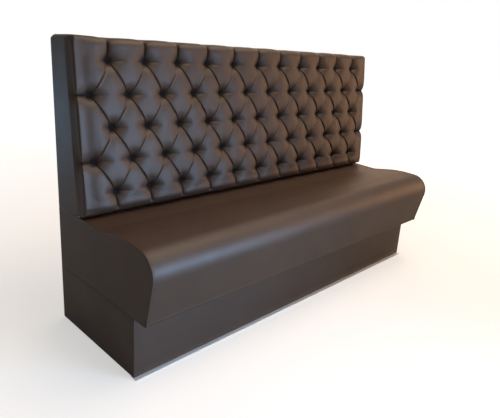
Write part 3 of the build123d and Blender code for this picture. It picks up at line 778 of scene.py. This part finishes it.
def makeBack():
    path, unrolled = backProfile()
    normals = pathNormals(path)                                     # out of the pad
    tangents = np.stack([-normals[:, 1], normals[:, 0]], axis=1)    # up the front
    step = back["tuftPitch"] / 2 / back["stepsPerHalfPitch"]
    flatHalf = halfLength - roll["radius"]
    inner = [k * step for k in range(-int(flatHalf / step), int(flatHalf / step) + 1)]
    inner = [-flatHalf] + [x for x in inner if flatHalf - abs(x) > roll["gather"]] + [flatHalf]
    angles = [math.pi / 2 * k / roll["steps"] for k in range(1, roll["steps"] + 1)]
    columns = [(-flatHalf, a) for a in reversed(angles)] + [(x, 0.0) for x in inner]
    columns += [(flatHalf, a) for a in angles]
    rows = len(path)
    # the roll over the ends is small and round on the top strip and on the underside
    facingUp = normals[:, 1]
    frontPart = (1 - between(facingUp, *roll["turnedUp"])) * (1 - between(-facingUp, *roll["turnedDown"]))
    frontPart = frontPart * (normals[:, 0] > 0)
    roundPart = np.where(facingUp < 0, roll["lowRadius"], roll["topRadius"])
    easeFront, easeTop, easeBelow = roll["ease"]
    facing = np.stack([
        softLimit(path[:, 0], boardSetbackAt(path[:, 1]) + back["puff"] - roll["reach"], easeFront),
        softLimit(path[:, 1], bench["height"] - roll["topRadius"], easeTop),
    ], axis=1)
    facing[:, 1] = -softLimit(-facing[:, 1], -(back["bottom"] + roll["lowRadius"]), easeBelow)
    facing[0, 1] = min(facing[0, 1], facing[1, 1])
    cornerX, cornerIn = roll["corner"]
    tilt = math.radians(roll["tilt"])
    x = np.zeros((rows, len(columns)))
    out = np.zeros((rows, len(columns), 2))
    flatX = np.zeros_like(x)
    rollTurn = np.zeros_like(x)
    lower = np.zeros_like(x)
    roundFlat, straightFlat = roll["flat"]
    fallRoom, fallWidth = roll["fallFrom"]
    squeezed = fieldHalf + roll["squeezeFrom"]
    for c, (base, angle) in enumerate(columns):
        side = math.copysign(1, base)
        part = angle / (math.pi / 2)
        turn = min(1.0, 2 * part) * tilt
        late = max(0.0, 2 * part - 1)
        flatRoll = cornerX * math.sin(turn) / math.sin(tilt) + (roll["radius"] - cornerX) * late
        inRoll = cornerIn * (1 - math.cos(turn)) / (1 - math.cos(tilt)) + (roll["reach"] - cornerIn) * late
        squeeze = np.clip((abs(base) - squeezed) / (flatHalf - squeezed), 0, 1)
        start = abs(base) + (roll["radius"] - roundPart) * (1 - frontPart) * squeeze
        across = frontPart * flatRoll + (1 - frontPart) * roundPart * math.sin(angle)
        x[:, c] = side * (start + across)
        inwards = frontPart * inRoll / roll["reach"] + (1 - frontPart) * (1 - math.cos(angle))
        fall = roll["fall"] * smooth((abs(base) - fieldHalf + fallRoom) / fallWidth) * frontPart * (1 - inwards)
        lower[:, c] = fall
        out[:, c] = path + (facing - path) * inwards[:, None] - normals * fall[:, None]
        flatX[:, c] = side * (abs(base) + roundFlat * min(1.0, 2 * part) + straightFlat * late)
        rollTurn[:, c] = (frontPart * (turn + (math.pi / 2 - tilt) * late) + (1 - frontPart) * angle) * side
    w = np.repeat(unrolled[:, None], len(columns), axis=1)
    deep, shiftX, shiftW, paintedShade = foldField(flatX, w)
    # the folds die out behind the top strip and where the pad meets its side facing
    stop, stopWidth = back["foldsStop"]
    calm, calmFrom, calmWidth = back["calmEnd"]
    keep = smooth((unrolled.max() - stop - w) / stopWidth)
    keep = keep * (1 - calm * smooth((np.abs(flatX) - flatHalf - calmFrom) / calmWidth))
    deep, shiftX, shiftW, paintedShade = deep * keep, shiftX * keep, shiftW * keep, paintedShade * keep
    onTop = between(facingUp, *back["onTop"])[:, None]
    below = between(-facingUp, *back["below"])[:, None]
    limit = back["deepest"] - lower + (back["deepestOnTop"] - back["deepest"]) * onTop
    deep = softLimit(deep, limit + (back["deepestBelow"] - back["deepest"]) * below, back["limitEase"])
    dice = random.Random(back["swellSeed"])
    for _ in range(back["swells"]):
        a, b = [dice.uniform(*back["swellRate"]) for _ in range(2)]
        turn = dice.uniform(*back["swellStart"])
        deep += back["swellHeight"] * np.sin(flatX * a + w * b * dice.choice((-1, 1)) + turn)
    push = deep * np.cos(rollTurn)
    out = out - normals[:, None, :] * push[:, :, None]
    out = out + tangents[:, None, :] * shiftW[:, :, None]
    x = x - np.sin(rollTurn) * deep + shiftX
    x[:, 0], x[:, -1] = -halfLength, halfLength         # the side facings are flat
    points = np.stack([x, rearY - out[:, :, 0], out[:, :, 1]], axis=2) * mm
    # crowded points at the edge of each side facing are gathered into one
    kept = {}
    for c in (0, len(columns) - 1):
        kept[c] = [0]
        for r in range(1, rows):
            if np.linalg.norm(points[r, c] - points[kept[c][-1], c]) < roll["gather"] * mm:
                points[r, c] = points[kept[c][-1], c]
            else:
                kept[c].append(r)
    # the rear of the sheet lies along the board and the top rail
    heights = np.linspace(back["bottom"], back["railTop"], back["rearPoints"])[1:]
    rear = [(boardSetbackAt(z), z) for z in heights]
    widest = halfLength - bench["skin"]
    allPoints = []
    for c in range(len(columns)):
        allPoints += [tuple(p) for p in points[:, c]]
        rearX = float(np.clip(x[:, c].mean(), -widest, widest))
        ceiling = out[0, c, 1] - back["rearDrop"]
        allPoints += [place(rearX, setback, min(z, ceiling)) for setback, z in rear]
    ring = rows + len(rear)
    faces = []
    for c in range(len(columns) - 1):
        for r in range(ring):
            a, b = c * ring + r, c * ring + (r + 1) % ring
            d, e = a + ring, b + ring
            if r < rows - 1:
                # split along the diagonal that follows the nearer fold
                turns = (flatX[r, c] + flatX[r, c + 1]) / 2 / back["tuftPitch"]
                lifts = (w[r, c] + w[r + 1, c]) / 2 / (2 * back["tuftRise"])
                p, q = turns + lifts, turns - lifts
                if abs(p - round(p)) < abs(q - round(q)):
                    faces += [(a, b, e), (a, e, d)]
                else:
                    faces += [(a, b, d), (b, e, d)]
            else:
                faces.append((a, b, e, d))
    # each side facing ends in a free edge on the seat's shelf
    flatFaces = []
    count = len(roll["freeEdge"])
    for c, side in ((0, -1), (len(columns) - 1, 1)):
        start = c * ring
        lowEnd, topEnd = start + rows - 1, start
        outer = len(allPoints)
        inside = outer + count
        for half in (halfLength, widest):
            allPoints += [place(side * half, setback, z) for setback, z in roll["freeEdge"]]
        flatFrom = len(faces)
        faces += filled([start + r for r in kept[c]] + [outer + k for k in range(count)], allPoints)
        for k in range(count - 1):
            faces.append((outer + k, outer + k + 1, inside + k + 1, inside + k))
        faces.append((lowEnd, outer, inside))
        faces.append((outer + count - 1, topEnd, inside + count - 1))
        rearEdge = [start + r for r in range(ring - 1, rows - 1, -1)]
        faces += filled([inside + k for k in range(count)] + [topEnd] + rearEdge + [lowEnd], allPoints)
        flatFaces += range(flatFrom, len(faces))
    piece = meshPiece("tuftedBack", allPoints, faces, leather, flatFaces=flatFaces)
    # the painted shade of the folds and pits goes onto the points of the front sheet
    shade = np.zeros(len(allPoints))
    for c in range(len(columns)):
        shade[c * ring:c * ring + rows] = paintedShade[:, c]
    paint(piece, "paintedShade", shade)
    return piece


tuftedBack = makeBack()
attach(tuftedBack, "root")
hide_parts("back_cover", "back_side_cover_left", "back_side_cover_right")
print("tufted back made:", len(tuftedBack.data.polygons), "faces")


# seat: one smooth sheet over the crown and the nose, with sewn ends

seat = {
    "shelfDepth": 150.0,
    "rearHeight": 474.0,
    "valleySetback": 300.0,
    "valleyHeight": 466.0,
    "valleyRadius": 150.0,
    "crownSetback": 450.0,
    "crownRadius": 600.0,
    "noseRadius": 79.0,
    "noseHeight": 404.0,
    "noseFall": 4.0,
    "frontSlope": 12.55,
    "hemRadius": 3.0,
    "hemSetback": 530.0,
    "bendStep": 5.0,
    # columns of points at these distances from each sewn end, and evenly between them
    "endColumns": [0.0, 0.35, 0.9, 1.7, 2.6, 3.5, 4.3, 4.9, 5.6, 6.6, 8.0, 10, 13, 18, 26, 38, 55, 80],
    "middleColumns": 81,
    "seamRadius": 2.6,
    "seamLift": 2.0,
    "groove": (0.9, 2.0),       # beside the seam: depth and width
    "swell": (3.0, 45.0),       # of the padding: height, and how far from the end it takes to rise
    "swellFrom": (40, 120),     # along the sheet, from its rear edge and to its hem
    "swellTo": (60, 160),
    "seed": 23,
    "waves": 12,                # slow unevenness: rate across and along, start, height
    "waveRanges": ((0.002, 0.012), (0.004, 0.02), (0, 6.28), (0.05, 0.22)),
    "calmEnd": 60,
    "calmHem": 30,
    "hemFacing": -0.7,          # the hem begins where the sheet faces down more than this
    "hemBead": (2.2, 8, 5.0),   # the sheet is folded double along its front edge: height, place, width
    "sheet": 1.8,
    "innerInset": 3.0,
}


def seatCorners():
    topNormal = 90 + seat["noseFall"]
    frontNormal = 180 + seat["frontSlope"]
    turn = math.radians(frontNormal - topNormal)
    bisector = math.radians((topNormal + frontNormal) / 2)
    reach = seat["noseRadius"] / math.cos(turn / 2)
    noseY = bench["depth"] - seat["noseRadius"] - reach * math.cos(bisector)
    noseZ = seat["noseHeight"] + reach * math.sin(bisector)
    crownY, hemZ = seat["crownSetback"], bench["plinthHeight"] - bench["skin"]
    return [
        (seat["shelfDepth"], seat["rearHeight"]),
        (seat["valleySetback"], seat["valleyHeight"]),
        (crownY, noseZ + (noseY - crownY) * math.tan(math.radians(seat["noseFall"]))),
        (noseY, noseZ),
        (noseY - (noseZ - hemZ) * math.tan(math.radians(seat["frontSlope"])), hemZ),
        (seat["hemSetback"], hemZ),
    ]


def seatPath(spacing=4.5):
    radii = [seat["valleyRadius"], seat["crownRadius"], seat["noseRadius"], seat["hemRadius"]]
    return respaced(filletPath(seatCorners(), radii, seat["bendStep"]), spacing)


def makeSeat():
    path = seatPath()
    normals = pathNormals(path)
    half = [halfLength - inset for inset in seat["endColumns"]]
    middle = list(np.linspace(-half[-1], half[-1], seat["middleColumns"]))[1:-1]
    columns = [-h for h in half] + middle + half[::-1]
    points = []
    dice = random.Random(seat["seed"])
    waves = [[dice.uniform(*limits) for limits in seat["waveRanges"]] for _ in range(seat["waves"])]
    along = np.concatenate([[0], np.cumsum(np.linalg.norm(np.diff(path, axis=0), axis=1))])
    hemStart = along[np.argmax(normals[:, 1] < seat["hemFacing"])]
    seam = seat["seamRadius"]
    grooveDepth, grooveWidth = seat["groove"]
    swellHeight, swellWidth = seat["swell"]
    (rearFlat, rearRise), (hemFlat, hemRise) = seat["swellFrom"], seat["swellTo"]
    bead, beadPlace, beadWidth = seat["hemBead"]
    for x in columns:
        inset = halfLength - abs(x)
        if inset < 2 * seam:
            lift = math.sqrt(max(0.0, seam ** 2 - (inset - seam) ** 2)) - seam + seat["seamLift"]
        else:
            lift = -grooveDepth * math.exp(-(inset - 2 * seam) / grooveWidth)
        swell = swellHeight * (1 - math.exp(-max(0.0, inset - 2 * seam) / swellWidth))
        for p, n, gone in zip(path, normals, along):
            left = along[-1] - gone
            rise = lift + swell * float(smooth((gone - rearFlat) / rearRise) * smooth((left - hemFlat) / hemRise))
            uneven = sum(height * math.sin(x * a + gone * b + turn) for a, b, turn, height in waves)
            rise += uneven * min(1, inset / seat["calmEnd"])
            rise *= float(smooth(left / seat["calmHem"]))
            rise += bead * math.exp(-((hemStart - gone - beadPlace) / beadWidth) ** 2)
            points.append(place(x, *(p + n * rise)))
    rows = len(path)
    faces = gridFaces(len(columns), rows)
    # the inner face of the sheet closes it
    start = len(points)
    innerHalf = halfLength - seat["innerInset"]
    for x in (-innerHalf, innerHalf):
        points += [place(x, setback, z) for setback, z in path - normals * seat["sheet"]]
    last = (len(columns) - 1) * rows
    for r in range(rows - 1):
        faces.append((start + r, start + r + 1, start + rows + r + 1, start + rows + r))
        faces.append((r, r + 1, start + r + 1, start + r))
        faces.append((last + r, last + r + 1, start + rows + r + 1, start + rows + r))
    for r in (0, rows - 1):
        faces.append([c * rows + r for c in range(len(columns))] + [start + rows + r, start + r])
    return meshPiece("seatCover", points, faces, leather)


seatCover = makeSeat()
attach(seatCover, "root")
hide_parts("seat_cover")
print("seat cover made")


# loops of points from the edge inwards: (inset, how far the face stands out there along the seam, and elsewhere)
seatEnd = {
    "loops": [
        (1.2, -1.5, -1.5), (0.2, -0.9, -0.9), (0.5, -0.2, -0.2), (1.6, 0.0, 0.0),
        (4.4, 0.0, 0.0), (5.4, -0.35, 0.0), (6.6, 0.0, 0.0), (9.0, 0.1, 0.0),
    ],
    "spacing": 7.0,
    "clearance": 0.5,
    "underBack": 6,
    "underHem": 40,
    "seam": (3, -5),                # first and last outline point that lie along the seam
}


def makeSeatEnd(side):
    # flat end facing, its edge turned in along the seam
    top = bench["shelfHeight"] - seatEnd["clearance"]
    low = bench["plinthHeight"] + seatEnd["clearance"]
    outline = [(0.0, low), (0.0, top), (seat["shelfDepth"] - seatEnd["underBack"], top)]
    outline += [tuple(p) for p in seatPath(seatEnd["spacing"])[1:-1]]
    outline = np.array(outline + [(seat["hemSetback"] - seatEnd["underHem"], low)])
    count = len(outline)
    points, inwards = [], []
    for before, corner, after in zip(np.roll(outline, 1, 0), outline, np.roll(outline, -1, 0)):
        arriving = (corner - before) / np.linalg.norm(corner - before)
        leaving = (after - corner) / np.linalg.norm(after - corner)
        n = np.array([arriving[1] + leaving[1], -(arriving[0] + leaving[0])])
        inwards.append(n / np.linalg.norm(n))
    first, last = seatEnd["seam"]
    for inset, atSeam, elsewhere in seatEnd["loops"]:
        for k in range(count):
            out = atSeam if first <= k <= count + last else elsewhere
            points.append(place(side * (halfLength + out), *(outline[k] + inwards[k] * inset)))
    rings = len(seatEnd["loops"])
    faces = ringFaces(0, rings, count)
    flatFrom = len(faces)
    faces += filled([(rings - 1) * count + k for k in range(count)], points)
    faces += filled(list(range(count)), points)
    name = "seatEndFacing_" + ("left" if side < 0 else "right")
    return meshPiece(name, points, faces, leather, flatFaces=range(flatFrom, len(faces)))


for side, name in ((-1, "left"), (1, "right")):
    facing = makeSeatEnd(side)
    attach(facing, "root")
    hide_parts("seat_end_cover_" + name)
print("seat ends made")


# plinth: one sheet wrapped round the left end, the front and the right end

plinth = {
    "cornerRadius": 2.2,
    "cornerStep": 15.0,
    "edgeRadius": 1.0,
    "edgeCut": 0.3,         # share of that radius where the point in the middle of an edge lies
    "low": 4.0,
    "high": 229.5,
    "heights": 8,
    "spacing": 60.0,
    "nearEnd": 0.02,
}


def makePlinthWrap():
    depth = bench["plinthDepth"]
    corners = [(-halfLength, 0), (-halfLength, depth), (halfLength, depth), (halfLength, 0)]
    plan = filletPath(corners, [plinth["cornerRadius"]] * 2, plinth["cornerStep"])
    plan = respaced(plan, plinth["spacing"])
    share = plinth["nearEnd"]
    nearEnds = [(1 - share) * plan[a] + share * plan[b] for a, b in ((0, 1), (-1, -2))]
    plan = np.concatenate([plan[:1], nearEnds[:1], plan[1:-1], nearEnds[1:], plan[-1:]])
    outwards = pathNormals(plan)
    low, high, skin, r = plinth["low"], plinth["high"], bench["skin"], plinth["edgeRadius"]
    cut = plinth["edgeCut"] * r
    section = [(-skin, low), (-r, low), (-cut, low + cut), (0, low + r)]
    section += [(0, z) for z in np.linspace(low + r, high - r, plinth["heights"])[1:-1]]
    section += [(0, high - r), (-cut, high - cut), (-r, high), (-skin, high)]
    points = [place(*(p + n * out), z) for p, n in zip(plan, outwards) for out, z in section]
    return meshPiece("plinthWrap", points, tubeFaces(0, len(plan), len(section)), leather)


plinthWrap = makePlinthWrap()
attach(plinthWrap, "root")
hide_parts("plinth_cover_front", "plinth_cover_left", "plinth_cover_right")
print("plinth wrap made")


# foam inside the seat and behind the tufts

def extruded(name, outline, half, material, columns=24):
    # a section in (setback, z) drawn out to both sides of the middle
    points = [place(x, setback, z) for x in np.linspace(-half, half, columns) for setback, z in outline]
    return meshPiece(name, points, tubeFaces(0, columns, len(outline)), material)


seatPad = {"gap": 0.6, "low": 231.0, "inner": [(573.0, 231.0), (571.0, 402.0), (152.0, 402.0)], "half": 879.0}


def makeSeatFoam():
    path = seatPath(20.0)
    inner = path - pathNormals(path) * (bench["skin"] + seatPad["gap"])
    front = [tuple(p) for p in inner if p[0] > seat["shelfDepth"] + 1 and p[1] > seatPad["low"]]
    return extruded("seatFoam", front + seatPad["inner"], seatPad["half"], foam)


seatFoam = makeSeatFoam()
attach(seatFoam, "root")
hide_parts("seat_foam", "seat_nose_foam")


# how far the foam reaches past the tufts, and how thick it is there
backPad = {"section": [(44, 0.5), (44, 18), (36, 24.5)], "half": 32}


def makeBackFoam():
    low = [boardPoint(-reach, v) for reach, v in backPad["section"]]
    high = [boardPoint(fieldRise + reach, v) for reach, v in backPad["section"][::-1]]
    return extruded("backFoam", low + high, fieldHalf + backPad["half"], foam)


backFoam = makeBackFoam()
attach(backFoam, "root")
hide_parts("back_foam")
print("foam made")


# covered buttons deep in the tufts, and the twines behind them

def boardRing(x, w, v, radius, sides):
    # points around a line that stands on the board
    angles = [2 * math.pi * k / sides for k in range(sides)]
    return [place(x + radius * math.cos(a), *boardPoint(w + radius * math.sin(a), v)) for a in angles]


button = {
    "sides": 20,
    "top": 28.6,
    "profile": [(3.2, 0.8), (6.0, 0.0), (8.0, -1.6), (9.0, -3.6), (8.6, -5.2), (6.0, -5.9)],    # radius, height
    "crown": 1.0,
}


def makeButtons():
    points, faces = [], []
    sides, rings = button["sides"], len(button["profile"])
    for tx, tw, _ in tuftPlaces():
        start = len(points)
        points.append(place(tx, *boardPoint(tw, button["top"] + button["crown"])))
        for radius, lift in button["profile"]:
            points += boardRing(tx, tw, button["top"] + lift, radius, sides)
        faces += [(start, start + 1 + k, start + 1 + (k + 1) % sides) for k in range(sides)]
        faces += ringFaces(start + 1, rings, sides)
        faces.append([start + 1 + (rings - 1) * sides + k for k in range(sides)])
    # the buttons wear the darker copy of the leather, painted shade
    return meshPiece("tuftButtons", points, faces, buttonShadeLeather)


tuftButtons = makeButtons()
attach(tuftButtons, "root")
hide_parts("tuft_buttons")


# two laid strands run from each button to its toggle
cord = {"from": -12.2, "length": 37.4, "radius": 0.4, "lay": 0.42, "halfTurns": 5.0, "sides": 5, "steps": 13}


def makeTwines():
    points, faces = [], []
    sides, steps, radius, lay = (cord[key] for key in ("sides", "steps", "radius", "lay"))
    for tx, tw, _ in tuftPlaces():
        for strand in (0, math.pi):
            start = len(points)
            for j in range(steps):
                v = cord["from"] + cord["length"] * j / (steps - 1)
                turn = strand + cord["halfTurns"] * j / (steps - 1) * math.pi
                points += boardRing(tx + lay * math.cos(turn), tw + lay * math.sin(turn), v, radius, sides)
            faces += tubeFaces(start, steps, sides)
    return meshPiece("tuftTwines", points, faces, twine)


tuftTwines = makeTwines()
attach(tuftTwines, "root")
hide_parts("tuft_twines")
print("buttons and twines made")


# dust cloth stapled over the rear of the back

dust = {
    "low": 476.5,
    "high": 1094.5,
    "half": 897.5,
    "setback": 0.5,
    "stiles": (-880.5, -267.0, 267.0, 880.5),
    "rails": (494.0, 1077.0),
    "grid": (145, 49),
    "hem": 12,
    "sag": (2.6, 140),              # depth, and how far from the frame it takes
    "ripple": (0.5, 40, 19.0, 23.0),
    "pull": (0.2, 20, 31.0),        # between the staples
}


def makeDustCloth():
    columns, rows = dust["grid"]
    sag, sagWidth = dust["sag"]
    ripple, rippleWidth, rippleX, rippleZ = dust["ripple"]
    pull, pullWidth, pullX = dust["pull"]
    lowRail, highRail = dust["rails"]
    bays = list(zip(dust["stiles"], dust["stiles"][1:]))
    points = []
    for i in range(columns):
        for j in range(rows):
            x = dust["half"] * (2 * i / (columns - 1) - 1)
            z = dust["low"] + (dust["high"] - dust["low"]) * j / (rows - 1)
            inside = max(min(x - left, right - x) for left, right in bays)
            inside = min(inside, z - lowRail, highRail - z) - dust["hem"]
            give = sag * smooth(inside / sagWidth)
            give += ripple * math.sin(x / rippleX) * math.sin(z / rippleZ) * smooth(inside / rippleWidth)
            give += pull * math.sin(x / pullX) * (1 - smooth(inside / pullWidth))
            points.append(place(x, dust["setback"] + give, z))
    return meshPiece("rearDustCloth", points, gridFaces(columns, rows), dustCloth, tidyNormals=False)


rearDustCloth = makeDustCloth()
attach(rearDustCloth, "root")
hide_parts("back_dust_cloth")
print("dust cloth made")


# floor, world and lamps

studio = {
    "floorHalf": 40.0,
    "floorShade": 0.55,
    "floorGlow": (0.50, 0.90),      # near the bench and far from it
    "glowReach": (1.2, 5.0),
    "mirrored": 0.15,               # how bright the white background is in reflections
    "ambient": (1.0, 0.94, 0.88, 1),
    "brightWay": (0.72, 0.32, 0.62),
    "sides": (0.04, 0.42, -0.7, 0.9),   # level on the dim and on the bright side, and where these begin
    "lamps": [
        # name, place, target, size, power, colour, spread in degrees
        ("overhead", (0.5, -0.9, 3.4), (0, 0, 0.6), (3.0, 2.0), 86, (1.0, 0.78, 0.57), 180),
        ("coolWindow", (0.45, -2.7, 0.60), (-1.55, -0.2, 0.34), (1.5, 0.9), 23, (0.40, 0.66, 1.0), 70),
        ("warmWall", (3.7, -1.9, 1.2), (0.3, 0, 0.5), (2.0, 1.8), 48, (1.0, 0.54, 0.28), 180),
        ("rearWall", (3.4, 2.4, 2.5), (0.2, 0, 0.5), (3.0, 2.2), 38, (1.0, 0.58, 0.30), 180),
        ("leftWindow", (-1.6, 3.3, 0.4), (-0.9, 0.2, 0.6), (1.2, 0.8), 10, (0.36, 0.66, 1.0), 180),
    ],
}


def seenRays(tree):
    # 1 for what the camera sees, straight or through glass, and less in reflections
    rays = made(tree, "LightPath", "Is Camera Ray", {}).node.outputs
    dimmed = arithmetic(tree, "MULTIPLY", rays["Is Glossy Ray"], studio["mirrored"])
    clear = arithmetic(tree, "MAXIMUM", rays["Is Camera Ray"], rays["Is Transmission Ray"])
    return arithmetic(tree, "MAXIMUM", clear, dimmed)


def makeFloor():
    material = bpy.data.materials.new("paleFloor")
    material.use_nodes = True
    tree = material.node_tree
    tree.nodes.clear()
    shade = studio["floorShade"]
    diffuse = made(tree, "BsdfDiffuse", 0, {"Color": (shade, shade, shade, 1)})
    spot = made(tree, "NewGeometry", "Position", {})
    far = made(tree, "VectorMath", "Value", {0: spot}, operation="LENGTH")
    level = span(tree, far, *studio["floorGlow"], *studio["glowReach"])
    glow = made(tree, "Emission", 0, {"Strength": arithmetic(tree, "MULTIPLY", seenRays(tree), level)})
    both = made(tree, "AddShader", 0, {0: diffuse, 1: glow})
    made(tree, "OutputMaterial", None, {"Surface": both})
    s = studio["floorHalf"]
    mesh = bpy.data.meshes.new("floor")
    mesh.from_pydata([(-s, -s, 0), (s, -s, 0), (s, s, 0), (-s, s, 0)], [], [(0, 1, 2, 3)])
    mesh.materials.append(material)
    floor = bpy.data.objects.new("floor", mesh)
    scene.collection.objects.link(floor)


def makeWorld():
    world = bpy.data.worlds.new("studioWorld")
    scene.world = world
    world.use_nodes = True
    tree = world.node_tree
    tree.nodes.clear()
    way = made(tree, "TexCoord", "Generated", {})
    facing = made(tree, "VectorMath", "Value", {0: way, 1: studio["brightWay"]}, operation="DOT_PRODUCT")
    strength = span(tree, facing, *studio["sides"])
    ambient = made(tree, "Background", 0, {"Color": studio["ambient"], "Strength": strength})
    white = made(tree, "Background", 0, {"Color": (1, 1, 1, 1)})
    shown = made(tree, "MixShader", 0, {0: seenRays(tree), 1: ambient, 2: white})
    made(tree, "OutputWorld", None, {"Surface": shown})


def makeLamp(name, spot, target, size, power, colour, spread):
    data = bpy.data.lights.new(name, "AREA")
    data.shape = "RECTANGLE"
    data.size, data.size_y = size
    data.energy = power
    data.color = colour
    data.spread = math.radians(spread)
    lamp = bpy.data.objects.new(name, data)
    lamp.location = spot
    lamp.rotation_euler = (Vector(target) - Vector(spot)).to_track_quat("-Z", "Y").to_euler()
    scene.collection.objects.link(lamp)


makeFloor()
makeWorld()
for lamp in studio["lamps"]:
    makeLamp(*lamp)
scene.view_settings.view_transform = "Standard"
print("studio lit")
